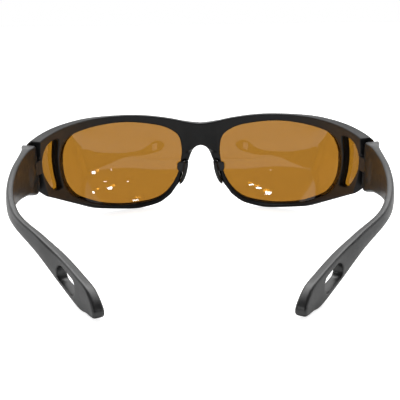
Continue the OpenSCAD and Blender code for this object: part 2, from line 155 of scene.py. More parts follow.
OPENING = curve([[LENS_X0 + x * LENS_W, LENS_Z0 + z * lens_h] for x, z in [
    (0, 0.64), (0.026, 0.8), (0.115, 0.895), (0.24, 0.95), (0.47, 0.995), (0.68, 0.985), (0.86, 0.935),
    (0.942, 0.865), (0.987, 0.74), (1, 0.59), (0.99, 0.42), (0.955, 0.285), (0.885, 0.17), (0.73, 0.06),
    (0.57, 0.01), (0.42, 0), (0.26, 0.03), (0.165, 0.092), (0.096, 0.19), (0.043, 0.32),
    (0.012, 0.48)]], 8, True)
WINDOW = curve([[x * WIN_W, hinge_z + z * WIN_H] for x, z in [
    (-0.25, 0.49), (-0.1, 0.5), (0.1, 0.475), (0.33, 0.37), (0.44, 0.16), (0.38, -0.08), (0.19, -0.28),
    (-0.06, -0.46), (-0.25, -0.5), (-0.42, -0.49), (-0.49, -0.43), (-0.41, -0.18), (-0.335, 0.1),
    (-0.3, 0.4)]], 8, True)


def front_outline():
    upper = curve([[0, bridge_top_z], [LENS_X0 * 0.67, bridge_top_z + 0.06 * BRIDGE_H], top(0.1, 0.78),
                   top(0.3, 0.27), top(0.49, 0.04), top(0.72, 0)], 8)
    lower = curve([low_end(1.2, 1.2), low_end(0.46, 1.08), low_end(0, 0.93), low_end(-0.47, 0.77),
                   low(0.92, 0.43), low(0.78, 0.175), low(0.64, 0.04), low(0.49, 0), low(0.34, 0.04),
                   low(0.2, 0.155), low(0.1, 0.39)], 8)
    arch = curve([[nose_top[0] - PAD_T, pad_top_z], [LENS_X0 * 0.52, pad_top_z + PAD_DROP * 0.38],
                  [LENS_X0 * 0.4, pad_top_z + PAD_DROP * 0.68], [LENS_X0 * 0.24, arch_z - PAD_DROP * 0.09],
                  [0, arch_z]], 8)
    half = np.concatenate([upper, [[reach_x, FRONT_H]], lower, nose_edge, arch])
    return np.concatenate([half, (half * [-1, 1])[::-1]])


def front_profile():
    over = 2.0
    return np.concatenate([
        curve([[end_y, end_top_z - HINGE_H * 0.11], over_end(-0.05, 0), over_end(0.1, 0.36),
               over_end(0.245, 0.64), over_end(0.404, 0.85), over_end(0.64, 1.07)], 8),
        [[DEPTH / 2 + over, FRONT_H * 1.01], [DEPTH / 2 + over, -over]],
        curve([under_end(0.88, -0.1), under_end(0.77, 0.003), under_end(0.67, 0.09), under_end(0.576, 0.18),
               under_end(0.449, 0.387), under_end(0.245, 0.684), under_end(0.123, 0.845),
               under_end(0.044, 0.95), [end_y, end_low_z * 1.1]], 8)])


def outline_distance(px, py, poly):
    """Distance of points to a closed outline, negative inside."""
    shape = px.shape
    px, py = px.ravel(), py.ravel()
    best = np.full(px.shape, 1e9)
    inside = np.zeros(px.shape, bool)
    for a, b in zip(poly, np.roll(poly, -1, axis=0)):
        dx, dy = b - a
        length = dx * dx + dy * dy
        if length < 1e-12:
            continue
        t = np.clip(((px - a[0]) * dx + (py - a[1]) * dy) / length, 0, 1)
        best = np.minimum(best, (px - a[0] - t * dx) ** 2 + (py - a[1] - t * dy) ** 2)
        if (a[1] > py.min()) or (b[1] > py.min()):
            crossing = (a[1] > py) != (b[1] > py)
            if dy:
                inside ^= crossing & (px < a[0] + (py - a[1]) / dy * dx)
    best = np.sqrt(best)
    return np.where(inside, -best, best).reshape(shape)


def both(a, b, r=0.0):
    """What lies in both solids, with its new edge rounded to r."""
    u, v = np.maximum(a + r, 0), np.maximum(b + r, 0)
    return np.minimum(np.maximum(a, b), -r) + np.sqrt(u * u + v * v)


def either(a, b, r=0.0):
    """What lies in either solid, with its new corner filled to r."""
    return -both(-a, -b, r)


def table_at(grid, lo, step, x):
    """Values of a table along its first axis, at places x."""
    f = np.clip((x - lo) / step, 0, grid.shape[0] - 1.001)
    i = f.astype(int)
    w = (f - i)[..., None]
    return grid[i] * (1 - w) + grid[i + 1] * w


def hinge_frame(x, y, z):
    """Place of points in the hinge's own frame: out through the wall, forward, and along the pin."""
    a, b = math.pi / 2 - hinge_turn, math.radians(LEAN)
    dx, dy, dz = x - hinge_x, y - hinge_y, z - hinge_z
    y1 = dy * math.cos(b) + dz * math.sin(b)
    z1 = -dy * math.sin(b) + dz * math.cos(b)
    return dx * math.cos(a) + y1 * math.sin(a), -dx * math.sin(a) + y1 * math.cos(a), z1


def box2(x, y, x0, x1, y0, y1):
    return np.maximum(np.maximum(x0 - x, x - x1), np.maximum(y0 - y, y - y1))


def axes(lo, hi, step):
    return [np.arange(a, b + step, step) for a, b in zip(lo, hi)]


def mesh_of(field, lo, step):
    """Points and faces of the surface where the field is zero, in mm."""
    band = 3 * step
    grid = vdb.FloatGrid(band)
    grid.copyFromArray(np.ascontiguousarray(np.clip(field, -band, band), dtype=np.float32), tolerance=1e-6)
    points, quads = grid.convertToQuads(0.0)
    points = points * step + np.array(lo)
    # Nothing lies lower than the table
    points[:, 2] = np.maximum(points[:, 2], 0)
    return points, quads


# Corners of the grids, in mm, for the right half of the front, the right temple and the right pad
FRONT_GRID = (0, 27, -1), (75, 74.5, 46)
TEMPLE_GRID = (27, -74, -1.5), (77, 40, 39)
PAD_GRID = (3, 63, 9), (13, 74, 25)
FAR_OFF = 50.0

# How round the front's edges are, in mm. ARCH_ROUND comes on top of RIM_ROUND near the arch.
OUTLINE_ROUND, RIM_ROUND, ARCH_ROUND, BRIDGE_FILL = 0.6, 0.85, 1.05, 2.6
OPENING_ROUND, WINDOW_ROUND, JOINT_ROUND, FINE_ROUND = 0.45, 0.35, 0.25, 0.2
# Near the arch means up to here outwards, up and down, and each bound fades out over its own run
ARCH_OUT, ARCH_OUT_FADE, ARCH_HIGH, ARCH_HIGH_FADE, ARCH_LOW, ARCH_LOW_FADE = 6.5, 5, 35.7, 4, 11.7, 6
# The hinge's relief, the root of its tongue, and the small notch beside the tongue
RELIEF_SLOPE, TONGUE_ROOT = 0.33, 1.6
NOTCH_IN, NOTCH_AHEAD, NOTCH_UP, NOTCH_R = -0.2, 2.5, 0.8, 0.85
# The flare in front of the lens: its slope, its greatest depth, and where across it starts and is full
FLARE, FLARE_DEPTH, FLARE_FROM, FLARE_RUN = 0.75, 2.4, 30, 22
WINDOW_FROM_X, WINDOW_STEP, RIB_H, RIB_PITCH = 55, 0.1, 0.16, 1.35


def build_front(step):
    xs, ys, zs = axes(*FRONT_GRID, step)
    x, y, z = xs[:, None, None], ys[None, :, None], zs[None, None, :]
    flat_x, flat_z = np.meshgrid(xs, zs, indexing="ij")
    outline = outline_distance(flat_x, flat_z, front_outline())[:, None, :]
    opening = outline_distance(flat_x, flat_z, OPENING)[:, None, :]
    flat_y, flat_z2 = np.meshgrid(ys, zs, indexing="ij")
    profile = outline_distance(flat_y, flat_z2, front_profile())[None, :, :]
    from_back = np.sqrt((x - EYE_X) ** 2 + (y - back_y) ** 2 + (z - EYE_Z) ** 2)
    wall = np.maximum(np.sqrt((x - EYE_X) ** 2 + (y - face_y) ** 2 + (z - EYE_Z) ** 2) - face_r,
                      BACK_R - from_back)
    bulge_y = back_y + math.sqrt(BACK_R**2 - EYE_X**2) - BULGE + BRIDGE_R
    bulge = np.sqrt(x * x + (y - bulge_y) ** 2) - BRIDGE_R
    bulge = np.maximum(bulge, y - (bulge_y - BRIDGE_R + BULGE + RIM_D / 2))
    bulge = np.maximum(bulge, arch_z - 2 - z)
    wall = either(wall, bulge, BRIDGE_FILL)
    edge = both(outline, profile, OUTLINE_ROUND)
    # The edge that hugs the arch is rounder than the others
    near = np.clip(1 - (np.maximum(x - ARCH_OUT, 0) / ARCH_OUT_FADE), 0, 1)
    near = near * np.clip((ARCH_HIGH - z) / ARCH_HIGH_FADE, 0, 1)
    near = near * np.clip((z - ARCH_LOW) / ARCH_LOW_FADE, 0, 1)
    solid = both(wall, edge, RIM_ROUND + ARCH_ROUND * near)
    lx, ly, lz = hinge_frame(x, y, z)
    room = KNUCKLE_R + JOINT_GAP
    solid = both(solid, JOINT_GAP / 2 - ly, JOINT_ROUND)
    pin_round = np.sqrt((lx - PIN_DEPTH) ** 2 + ly**2)
    relief = np.maximum(lx - PIN_DEPTH, ly - room - RELIEF_SLOPE * np.maximum(PIN_DEPTH - lx, 0))
    solid = both(solid, -np.minimum(pin_round - room, relief), FINE_ROUND)
    tongue_box = box2(lx, ly, PIN_DEPTH - KNUCKLE_R, PIN_DEPTH + KNUCKLE_R, 0, KNUCKLE_R + TONGUE_ROOT)
    tongue = np.minimum(pin_round - KNUCKLE_R, tongue_box)
    solid = np.minimum(solid, both(tongue, np.abs(lz) - TONGUE_H / 2, FINE_ROUND))
    notch = np.sqrt((lx - NOTCH_IN) ** 2 + (ly - NOTCH_AHEAD) ** 2
                    + (lz - TONGUE_H / 2 - NOTCH_UP) ** 2) - NOTCH_R
    solid = np.maximum(solid, -notch)
    # In front of the lens the outer half of the opening flares, so that it hides behind the lens
    ahead = np.clip(from_back - lens_r1, 0, FLARE_DEPTH) * np.clip((x - FLARE_FROM) / FLARE_RUN, 0, 1)
    solid = both(solid, -(opening - FLARE * ahead), OPENING_ROUND)
    shell = np.abs(from_back - (lens_r0 + lens_r1) / 2) - LENS_T / 2 - SEAT_GAP
    solid = np.maximum(solid, -np.maximum(shell, opening - GROOVE))
    # The side window, in its own frame
    wx, wy = EYE_X + BACK_R * math.sin(win_turn), back_y + BACK_R * math.cos(win_turn)
    across = (x - wx) * math.cos(win_wall) - (y - wy) * math.sin(win_wall)
    spans = np.arange(-WIN_W, WIN_W, WINDOW_STEP)
    tx, tz = np.meshgrid(spans, zs, indexing="ij")
    window = table_at(outline_distance(tx, tz, WINDOW), spans[0], WINDOW_STEP, across[:, :, 0])
    window = np.where(x > WINDOW_FROM_X, window, FAR_OFF)
    face_depth = face_r - np.sqrt((x - EYE_X) ** 2 + (y - face_y) ** 2 + (z - EYE_Z) ** 2)
    # Fine ribs on the window's walls
    ribs = RIB_H * np.clip(np.cos(face_depth * 2 * math.pi / RIB_PITCH), 0, 1) * (face_depth > SIDE_T)
    solid = both(solid, -(window + ribs - RIB_H / 2), WINDOW_ROUND)
    solid = np.maximum(solid, -np.maximum(face_depth - SIDE_T - SEAT_GAP, window - SIDE_LEDGE))
    bore = np.sqrt((lx - PIN_DEPTH) ** 2 + ly**2) - PIN_R - PIN_GAP
    solid = np.maximum(solid, -np.maximum(bore, np.abs(lz) - HINGE_H))
    whole = np.concatenate([solid[:0:-1], solid])
    return mesh_of(whole, (-xs[-1], ys[0], zs[0]), step)


# Temple stations from hinge to tip: how far along, how far in, how far the middle drops, and the height
STATIONS = np.array([
    (-0.075, -0.015, 0, HINGE_H), (0, 0, 0, HINGE_H), (0.063, 0.033, -0.02, HINGE_H * 0.955),
    (0.13, 0.05, -0.053, HINGE_H * 0.85), (0.298, 0.05, -0.012, HINGE_H * 0.62),
    (0.443, 0.09, 0.105, WAIST_H * 1.58), (0.573, 0.21, 0.273, WAIST_H),
    (0.698, 0.454, 0.526, (WAIST_H + TIP_H) * 0.436), (0.794, 0.66, 0.8, TIP_H * 0.92),
    (0.9, 0.842, 0.99, TIP_H * 0.98), (0.948, 0.923, 1.04, TIP_H * 0.8), (1, 1, 1.15, TIP_H * 0.53)])
TEMPLE_STEPS, SLOT_STEPS, ARC_STEP = 40, 100, 0.25
# The blade is thick at the root, fades to its own thickness, and thickens again from a share of its length
ROOT_FADE, TIP_START, TIP_RUN = 8.5, 0.6, 0.18
CROWN, CROWN_FROM, CROWN_RUN, CROWN_INSIDE = 0.42, 12, 20, 0.6
OUTER_ROUND, INNER_ROUND, ROOT_ROUND, SLOT_ROUND = 0.9, 0.75, 0.3, 0.3
# The swelling inside the hinge is part of a ball: its middle, its radius and where it is cut off
SWELL_OUT, SWELL_BACK, SWELL_R, SWELL_CUT, SWELL_FILL = 15.4, 7, 16, 1.5, 0.4
EAR_EDGE, SLOT_BEHIND_Y = 0.8, -30
tip_mid_z = TIP_H / 2
temple_l = hinge_y + DEPTH / 2
temple_out_x = hinge_x + ROOT_T + 0.1


def temple_line(n):
    rows = np.column_stack([
        temple_out_x - STATIONS[:, 1] * TIP_INSET, hinge_y - STATIONS[:, 0] * temple_l,
        hinge_z + STATIONS[:, 2] * (tip_mid_z - hinge_z), STATIONS[:, 3]])
    return rows, curve(rows, n)


def slot_frame():
    rows, line = temple_line(SLOT_STEPS)
    last = len(rows) - 1
    run = np.hypot(*(rows[last] - rows[last - 2])[:2])
    at = last - 2 - (SLOT_FROM_END - run) / np.linalg.norm(rows[last - 2] - rows[last - 3])
    s = line[int(round(at * SLOT_STEPS))]
    d = line[int(round((at - 0.4) * SLOT_STEPS))] - line[int(round((at + 0.4) * SLOT_STEPS))]
    plan = d[:2] / np.hypot(*d[:2])
    tilt = math.atan2(d[2], np.hypot(*d[:2]))
    along = np.array([plan[0] * math.cos(tilt), plan[1] * math.cos(tilt), math.sin(tilt)])
    inward = np.array([-plan[1], plan[0], 0])
    return s[:3], along, np.cross(along, inward)


def build_temple(step):
    rows, line = temple_line(TEMPLE_STEPS)
    xs, ys, zs = axes(*TEMPLE_GRID, step)
    # Arc length in plan, and the blade's side outline over it
    arc = np.concatenate([[0], np.cumsum(np.hypot(*np.diff(line[:, :2], axis=0).T))])
    share = np.clip(np.arange(len(line)) / TEMPLE_STEPS - (len(rows) - 2), 0, 1)
    half = line[:, 3] / 2 * np.sqrt(np.clip(1 - share**2, 0, 1))
    side = np.concatenate([np.column_stack([arc, line[:, 2] + half]),
                           np.column_stack([arc, line[:, 2] - half])[::-1]])
    us = np.arange(-3, arc[-1] + 4, ARC_STEP)
    tu, tz = np.meshgrid(us, zs, indexing="ij")
    side_table = outline_distance(tu, tz, side)
    # Nearest place on the outer face for each column
    gx, gy = np.meshgrid(xs, ys, indexing="ij")
    px, py = gx.ravel(), gy.ravel()
    best = np.full(px.shape, 1e9)
    where_u = np.zeros(px.shape)
    inward = np.zeros(px.shape)
    for i in range(len(line) - 1):
        a, b = line[i, :2], line[i + 1, :2]
        d = b - a
        n = d @ d
        t = ((px - a[0]) * d[0] + (py - a[1]) * d[1]) / n
        low_t = -1e9 if i == 0 else 0
        high_t = 1e9 if i == len(line) - 2 else 1
        t = np.clip(t, low_t, high_t)
        qx, qy = px - a[0] - t * d[0], py - a[1] - t * d[1]
        dist = qx * qx + qy * qy
        nearer = dist < best
        best = np.where(nearer, dist, best)
        where_u = np.where(nearer, arc[i] + t * math.sqrt(n), where_u)
        cross = d[0] * qy - d[1] * qx
        inward = np.where(nearer, -np.sign(cross) * np.sqrt(dist), inward)
    u, s = where_u.reshape(gx.shape), inward.reshape(gx.shape)
    mid = np.interp(u, arc, line[:, 2])[..., None]
    tall = np.interp(u, arc, line[:, 3])[..., None] / 2
    thicker = np.clip(((hinge_y - gy) / temple_l - TIP_START) / TIP_RUN, 0, 1)
    thick = TEMPLE_T + (ROOT_T - TEMPLE_T) * np.exp(-(np.maximum(hinge_y - gy, 0) / ROOT_FADE) ** 2)
    thick = thick + (TIP_T - TEMPLE_T) * thicker**2 * (3 - 2 * thicker)
    z = zs[None, None, :]
    outline = table_at(side_table, us[0], ARC_STEP, u)
    fade = np.clip((u - CROWN_FROM) / CROWN_RUN, 0, 1)[..., None]
    crown = CROWN * np.clip((z - mid) / tall, -1, 1) ** 2 * fade
    outer = crown - s[..., None]
    inner = s[..., None] - thick[..., None] + CROWN_INSIDE * crown
    blade = both(both(outline, outer, OUTER_ROUND), inner, INNER_ROUND)
    x, y = gx[..., None], gy[..., None]
    swell = np.sqrt((x - hinge_x - SWELL_OUT) ** 2 + (y - hinge_y + SWELL_BACK) ** 2
                    + (z - hinge_z) ** 2) - SWELL_R
    swell = np.maximum(swell, x - hinge_x - SWELL_CUT)
    blade = either(blade, swell, SWELL_FILL)
    lx, ly, lz = hinge_frame(x, y, z)
    blade = both(blade, ly + JOINT_GAP / 2, ROOT_ROUND)
    pin_round = np.sqrt((lx - PIN_DEPTH) ** 2 + ly**2)
    ears = np.minimum(pin_round - KNUCKLE_R,
                      box2(lx, ly, PIN_DEPTH - KNUCKLE_R, PIN_DEPTH + KNUCKLE_R, -2 * KNUCKLE_R, 0))
    ears = both(ears, np.maximum(end_low_z + EAR_EDGE - z, z - end_top_z + EAR_EDGE), FINE_ROUND)
    solid = np.minimum(blade, ears)
    room = KNUCKLE_R + JOINT_GAP
    hollow = np.minimum(pin_round - room, np.maximum(lx - PIN_DEPTH, -room - ly))
    hollow = np.maximum(hollow, np.abs(lz) - TONGUE_H / 2 - JOINT_GAP)
    solid = both(solid, -hollow, FINE_ROUND)
    seat = HEAD_DEPTH - HINGE_H / 2
    bore = np.maximum(pin_round - PIN_R - PIN_GAP,
                      np.maximum(seat - lz, lz - TONGUE_H / 2 - PIN_REACH - JOINT_GAP))
    sink = np.maximum(pin_round - HEAD_R - 2 * PIN_GAP, lz - seat)
    solid = np.maximum(solid, -np.minimum(bore, sink))
    at, along, up = slot_frame()
    dx, dy, dz = x - at[0], y - at[1], z - at[2]
    run = np.abs(dx * along[0] + dy * along[1] + dz * along[2]) - (SLOT_L - SLOT_H) / 2
    high = dx * up[0] + dy * up[1] + dz * up[2]
    hole = np.sqrt(np.maximum(run, 0) ** 2 + high**2) - SLOT_H / 2
    solid = both(solid, -np.where(y < SLOT_BEHIND_Y, hole, FAR_OFF), SLOT_ROUND)
    return mesh_of(solid, (xs[0], ys[0], zs[0]), step)


# The pad's thinning towards its lower end, its belly, and how round its edges and its clip's are
PAD_TAPER, PAD_TAPER_POWER, PAD_BELLY, PAD_LIFT, PAD_PAST_END = 0.65, 6, 0.35, 0.3, 0.2
PAD_SIDE_ROUND, PAD_END_ROUND, CLIP_CORNER, CLIP_ROUND, CLIP_FILL = 0.8, 0.35, 1.5, 0.35, 0.5
CLIP_BACK = 0.15


def build_pad(step):
    """Right nose pad with its clip."""
    xs, ys, zs = axes(*PAD_GRID, step)
    x, y, z = xs[:, None, None], ys[None, :, None], zs[None, None, :]
    order = np.argsort(nose_edge[:, 1])
    seat = np.interp(zs, nose_edge[order, 1], nose_edge[order, 0])[None, None, :]
    # The pad thins towards its lower end and keeps its width at the top
    k = np.clip((pad_top_z - z) / PAD_L, 0, 1)
    thick = PAD_T * np.sqrt(1 - PAD_TAPER * k**PAD_TAPER_POWER)
    front_y = rim_back_y + RIM_D - PAD_SET
    across = np.abs(y - (front_y - PAD_D / 2)) - PAD_D / 2
    belly = PAD_BELLY * np.clip(1 - ((y - (front_y - PAD_D / 2)) / (PAD_D / 2)) ** 2, 0, 1)
    slab = np.maximum(x - seat + 1.2 * SEAT_GAP, seat - thick - x - belly + PAD_LIFT)
    ends = np.maximum(z - pad_top_z + SEAT_GAP, pad_low_z - PAD_PAST_END - z)
    pad = both(both(slab, across, PAD_SIDE_ROUND), ends, PAD_END_ROUND)
    clip_y = rim_back_y - CLIP_BACK - SEAT_GAP
    clip_x = nose_low[0] + 0.03 * LENS_W
    cx = (nose_top[0] - PAD_T / 2 + clip_x) / 2
    cz = pad_top_z - CLIP_H / 2
    flat = both(np.abs(x - cx) - (clip_x - cx), np.abs(z - cz) - CLIP_H / 2, CLIP_CORNER)
    clip = both(flat, np.abs(y - clip_y + CLIP_T / 2) - CLIP_T / 2, CLIP_ROUND)
    return mesh_of(either(pad, clip, CLIP_FILL), (xs[0], ys[0], zs[0]), step)


def lens_sheet(outline, place, r_in, r_out, centre_in, centre_out, rings=56):
    """Closed mesh of a curved sheet between two balls, cut to an outline drawn in a frame of its own.
    place gives the frame: its origin, across, up and out directions."""
    origin, across, up, out = place
    middle = outline.mean(axis=0)
    points, faces = [], []
    n = len(outline)
    shares = np.sin(np.linspace(0, math.pi / 2, rings + 1)[1:])

    def project(flat, centre, r):
        base = origin + flat[0] * across + flat[1] * up - centre
        b = base @ out
        return base + centre + (-b + math.sqrt(b * b - base @ base + r * r)) * out

    for centre, r, flip in ((centre_in, r_in, False), (centre_out, r_out, True)):
        start = len(points)
        points.append(project(middle, centre, r))
        for share in shares:
            for q in outline:
                points.append(project(middle + share * (q - middle), centre, r))
        for k in range(n):
            tri = [start, start + 1 + (k + 1) % n, start + 1 + k]
            faces.append(tri[::-1] if flip else tri)
        for j in range(rings - 1):
            for k in range(n):
                a = start + 1 + j * n + k
                b = start + 1 + j * n + (k + 1) % n
                quad = [a, b, b + n, a + n]
                faces.append(quad[::-1] if flip else quad)
    inner, outer = 1 + (rings - 1) * n, 1 + rings * n + 1 + (rings - 1) * n
    for k in range(n):
        faces.append([inner + k, inner + (k + 1) % n, outer + (k + 1) % n, outer + k])
    return np.array(points), faces


def bend_normals(obj, side):
    """Gives a main lens normals that aren't its mesh's. They are fitted so that the reflections fall
    where they do in the photo, and belong to a curve rounder in height than across."""
    cx, rx, cz, rz, twist = 3.0, 69.3, 29.8, 59.3, 0.053
    # A weaker place in the upper inner part of the curve: its middle, its reach, and its bend each way
    px, pz, reach, bend_x, bend_z = 20.9, 27.6, 9.0, 0.0048, -0.0055
    out = []
    for v, n in zip(obj.data.vertices, obj.data.vertex_normals):
        x, z = side * v.co.x / MM, v.co.z / MM
        if abs(n.vector.y) < 0.45 and abs(Vector((v.co.x / MM - side * EYE_X, v.co.y / MM - back_y,
                                                  z - EYE_Z)).normalized().dot(n.vector)) < 0.9:
            out.append(n.vector.copy())
            continue
        a, b = (x - cx) / rx, (z - cz) / rz - twist * (x - 30) / 30
        near = math.exp(-((x - px) ** 2 + (z - pz) ** 2) / reach**2)
        a, b = a + bend_x * (x - px) * near, b + bend_z * (z - pz) * near
        bent = Vector((side * a, math.sqrt(max(1 - a * a - b * b, 0.05)), b)).normalized()
        out.append(bent if n.vector.dot(bent) > 0 else -bent)
    obj.data.normals_split_custom_set_from_vertices(out)


def grown(poly, d):
    t = np.roll(poly, -1, axis=0) - np.roll(poly, 1, axis=0)
    n = np.column_stack([-t[:, 1], t[:, 0]])
    return poly + d * n / np.linalg.norm(n, axis=1)[:, None]


def make_object(name, points, faces, mirrored=False, even=0):
    p = np.array(points, float) * MM
    if mirrored:
        p = p * [-1, 1, 1]
        faces = [list(f)[::-1] for f in faces]
    mesh = bpy.data.meshes.new(name)
    mesh.from_pydata(p.tolist(), [], [list(map(int, f)) for f in faces])
    mesh.validate()
    mesh.shade_smooth()
    obj = bpy.data.objects.new(name, mesh)
    bpy.context.scene.collection.objects.link(obj)
    if even:
        mod = obj.modifiers.new("even", "CORRECTIVE_SMOOTH")
        mod.factor = 0.5
        mod.iterations = even
        mod.smooth_type = "SIMPLE"
        mod.use_only_smooth = True
        bpy.context.view_layer.objects.active = obj
        with bpy.context.temp_override(object=obj, active_object=obj, selected_objects=[obj]):
            bpy.ops.object.modifier_apply(modifier=mod.name)
    return obj


# Materials
def shader(name, color, rough, spec=0.5, transmission=0.0, ior=1.5):
    mat = bpy.data.materials.new(name)
    mat.use_nodes = True
    bsdf = mat.node_tree.nodes["Principled BSDF"]
    bsdf.inputs["Base Color"].default_value = (*color, 1)
    bsdf.inputs["Roughness"].default_value = rough
    bsdf.inputs["Specular IOR Level"].default_value = spec
    bsdf.inputs["IOR"].default_value = ior
    bsdf.inputs["Transmission Weight"].default_value = transmission
    return mat, mat.node_tree, bsdf


def noise(tree, scale, detail=2.0):
    place = tree.nodes.new("ShaderNodeTexCoord")
    tex = tree.nodes.new("ShaderNodeTexNoise")
    tex.inputs["Scale"].default_value = scale
    tex.inputs["Detail"].default_value = detail
    tree.links.new(place.outputs["Object"], tex.inputs["Vector"])
    return tex


def spread(tree, value, lo, hi, target):
    node = tree.nodes.new("ShaderNodeMapRange")
    node.inputs["To Min"].default_value = lo
    node.inputs["To Max"].default_value = hi
    node.inputs["From Min"].default_value = 0.3
    node.inputs["From Max"].default_value = 0.7
    tree.links.new(value, node.inputs["Value"])
    tree.links.new(node.outputs["Result"], target)


def bump(tree, bsdf, parts):
    """Adds noises of (scale, strength, distance in mm) to the surface."""
    last = None
    for scale, strength, depth in parts:
        node = tree.nodes.new("ShaderNodeBump")
        node.inputs["Strength"].default_value = strength
        node.inputs["Distance"].default_value = depth * MM
        tree.links.new(noise(tree, scale).outputs["Fac"], node.inputs["Height"])
        if last:
            tree.links.new(last.outputs["Normal"], node.inputs["Normal"])
        last = node
    tree.links.new(last.outputs["Normal"], bsdf.inputs["Normal"])


def tinted(tree, bsdf, dark, light, scale):
    mix = tree.nodes.new("ShaderNodeMix")
    mix.data_type = "RGBA"
    mix.inputs["A"].default_value = (*dark, 1)
    mix.inputs["B"].default_value = (*light, 1)
    tree.links.new(noise(tree, scale, 4).outputs["Fac"], mix.inputs["Factor"])
    tree.links.new(mix.outputs["Result"], bsdf.inputs["Base Color"])


# The painted amber light starts and is full at these places, in mm across times how far the face looks
# across
AMBER_LIGHT_FROM, AMBER_LIGHT_FULL = -18, -46


def paint_amber_light_inside(tree, bsdf, color):
    """Paints amber light on the inner faces of the end pieces as a browner colour, fading out towards the
    nose. This brown is painted light, standing for amber light that the lenses probably throw there, and
    not a second plastic."""
    place = tree.nodes.new("ShaderNodeTexCoord")
    facing = tree.nodes.new("ShaderNodeVectorMath")
    facing.operation = "MULTIPLY"
    tree.links.new(place.outputs["Object"], facing.inputs[0])
    tree.links.new(place.outputs["Normal"], facing.inputs[1])
    split = tree.nodes.new("ShaderNodeSeparateXYZ")
    tree.links.new(facing.outputs["Vector"], split.inputs["Vector"])
    share = tree.nodes.new("ShaderNodeMapRange")
    share.inputs["From Min"].default_value = AMBER_LIGHT_FROM * MM
    share.inputs["From Max"].default_value = AMBER_LIGHT_FULL * MM
    tree.links.new(split.outputs["X"], share.inputs["Value"])
    mix = tree.nodes.new("ShaderNodeMix")
    mix.data_type = "RGBA"
    mix.inputs["B"].default_value = (*color, 1)
    tree.links.new(share.outputs["Result"], mix.inputs["Factor"])
    tree.links.new(bsdf.inputs["Base Color"].links[0].from_socket, mix.inputs["A"])
    tree.links.new(mix.outputs["Result"], bsdf.inputs["Base Color"])


def frame_material(name, spec, inside=None):
    """Black nylon, with painted amber light on the inner faces of the end pieces where inside gives a
    colour.
    """
    mat, tree, bsdf = shader(name, (0.005, 0.005, 0.0055), 0.36, spec=spec)
    tinted(tree, bsdf, (0.004, 0.0043, 0.0047), (0.007, 0.007, 0.0075), 180)
    spread(tree, noise(tree, 420, 3).outputs["Fac"], 0.32, 0.4, bsdf.inputs["Roughness"])
    bump(tree, bsdf, [(5200, 0.12, 0.02), (900, 0.08, 0.03)])
    if inside:
        paint_amber_light_inside(tree, bsdf, inside)
    return mat


def lens_material(name, color):
    mat, tree, bsdf = shader(name, color, 0.0, transmission=1.0, ior=1.5)
    spread(tree, noise(tree, 90, 3).outputs["Fac"], 0.0, 0.012, bsdf.inputs["Roughness"])
    return mat


def pad_material():
    mat, tree, bsdf = shader("soft_black_pad", (0.013, 0.013, 0.014), 0.5)
    tinted(tree, bsdf, (0.010, 0.010, 0.011), (0.018, 0.018, 0.019), 300)
    spread(tree, noise(tree, 700).outputs["Fac"], 0.42, 0.56, bsdf.inputs["Roughness"])
    bump(tree, bsdf, [(3000, 0.2, 0.03)])
    return mat


def screw_material():
    mat, tree, bsdf = shader("turned_steel", (0.6, 0.6, 0.62), 0.3)
    bsdf.inputs["Metallic"].default_value = 1.0
    wave = tree.nodes.new("ShaderNodeTexWave")
    wave.inputs["Scale"].default_value = 900
    place = tree.nodes.new("ShaderNodeTexCoord")
    tree.links.new(place.outputs["Object"], wave.inputs["Vector"])
    spread(tree, wave.outputs["Fac"], 0.22, 0.4, bsdf.inputs["Roughness"])
    tinted(tree, bsdf, (0.5, 0.5, 0.52), (0.66, 0.66, 0.68), 2500)
    return mat


# inside is painted amber light: a brown colour on the inner faces of the end pieces
black = frame_material("satin_black_nylon", 0.3, inside=(0.045, 0.022, 0.006))
temple_black = frame_material("polished_black_nylon", 0.8)
amber = lens_material("amber_lens", (0.35, 0.158, 0.0205))
amber_side = lens_material("amber_side_lens", (0.31, 0.135, 0.009))
rubber = pad_material()
steel = screw_material()

GRID_STEP, PAD_STEP = 0.25, 0.15
FRONT_BODY, SIDES = "front", (("right", False), ("left", True))

points, faces = build_front(GRID_STEP)
front = make_object("front_shell", points, faces, even=2)
front.data.materials.append(black)
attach(front, FRONT_BODY)
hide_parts("front_frame")

points, faces = build_temple(GRID_STEP)
for name, mirrored in SIDES:
    temple = make_object(name + "_temple_arm", points, faces, mirrored, even=2)
    temple.data.materials.append(temple_black)
    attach(temple, name + "_temple_body")
    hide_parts(name + "_temple")

points, faces = build_pad(PAD_STEP)
for name, mirrored in SIDES:
    pad = make_object(name + "_soft_pad", points, faces, mirrored, even=2)
    pad.data.materials.append(rubber)
    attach(pad, FRONT_BODY)
    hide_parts(name + "_nose_pad")

back_c = np.array([EYE_X, back_y, EYE_Z])
face_c = np.array([EYE_X, face_y, EYE_Z])
plain = (np.zeros(3), np.array([1.0, 0, 0]), np.array([0, 0, 1.0]), np.array([0, 1.0, 0]))
points, faces = lens_sheet(grown(OPENING, GROOVE - SEAT_GAP), plain, lens_r0, lens_r1, back_c, back_c)
for name, mirrored in SIDES:
    lens = make_object(name + "_main_lens", points, faces, mirrored)
    bend_normals(lens, -1 if mirrored else 1)
    lens.data.materials.append(amber)
    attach(lens, FRONT_BODY)
    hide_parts(name + "_lens")

window_place = (np.array([EYE_X + BACK_R * math.sin(win_turn), back_y + BACK_R * math.cos(win_turn), 0]),
                np.array([math.cos(win_wall), -math.sin(win_wall), 0]), np.array([0, 0, 1.0]),
                np.array([math.sin(win_wall), math.cos(win_wall), 0]))
points, faces = lens_sheet(grown(WINDOW, SIDE_LEDGE - SEAT_GAP), window_place, face_r - SIDE_T, face_r,
                           face_c, face_c, 24)
for name, mirrored in SIDES:
    lens = make_object(name + "_side_window_lens", points, faces, mirrored)
    lens.data.materials.append(amber_side)
    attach(lens, FRONT_BODY)
    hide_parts(name + "_side_lens")

for name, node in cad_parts.items():
    if "screw" in name:
        node.data.materials.clear()
        node.data.materials.append(steel)


# Floor, world and lamps, in metres
TABLE_HALF, TABLE_Z = 3.0, -0.0002
